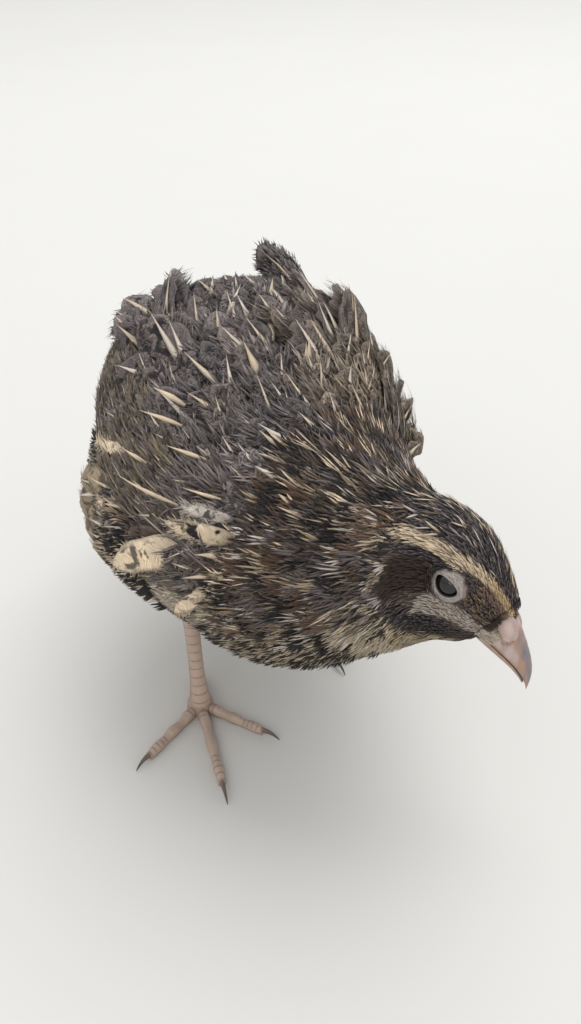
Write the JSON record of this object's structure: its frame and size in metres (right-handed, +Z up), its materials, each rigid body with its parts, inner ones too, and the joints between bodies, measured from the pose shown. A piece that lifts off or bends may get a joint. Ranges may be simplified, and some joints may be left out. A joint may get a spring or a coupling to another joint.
{
  "type": "coturnix quail",
  "caption": "Life-size still model of a standing coturnix quail with ruffled, streaked feathers, its head held low and turned to its left, one foot ahead of the other.",
  "frame": {"origin": "on the floor, under the middle of the bird's box", "axes": "+X the way the breast points, +Y the bird's left, +Z up"},
  "size_m": [0.1658, 0.0832, 0.1023],
  "materials": {
    "plumage": "soft matt feathers, charcoal brown with buff streaks and dark spots",
    "flight_feathers": "smooth matt vanes, grey brown with fine bars and pale shafts",
    "bill": "satin horn, grey ridge and pinkish flaps over the nostrils",
    "eye": "wet, very dark brown",
    "eyelid": "bare pale grey skin, finely creased",
    "leg_skin": "dull pinkish tan scales",
    "claw": "satin horn"
  },
  "bodies": {
    "root": {"torso": "plumage", "neck": "plumage", "head": "plumage", "wing_left": "flight_feathers", "wing_right": "flight_feathers", "tail": "flight_feathers", "thigh_left": "plumage", "thigh_right": "plumage", "eye_left": "eye", "eye_right": "eye", "eyelid_left": "eyelid", "eyelid_right": "eyelid", "bill_upper": "bill", "bill_lower": "bill", "tarsus_left": "leg_skin", "foot_left": "leg_skin", "toe_inner_left": "leg_skin", "toe_middle_left": "leg_skin", "toe_outer_left": "leg_skin", "toe_hind_left": "leg_skin", "claw_inner_left": "claw", "claw_middle_left": "claw", "claw_outer_left": "claw", "claw_hind_left": "claw", "tarsus_right": "leg_skin", "foot_right": "leg_skin", "toe_inner_right": "leg_skin", "toe_middle_right": "leg_skin", "toe_outer_right": "leg_skin", "toe_hind_right": "leg_skin", "claw_inner_right": "claw", "claw_middle_right": "claw", "claw_outer_right": "claw", "claw_hind_right": "claw"}
  },
  "joints": []
}
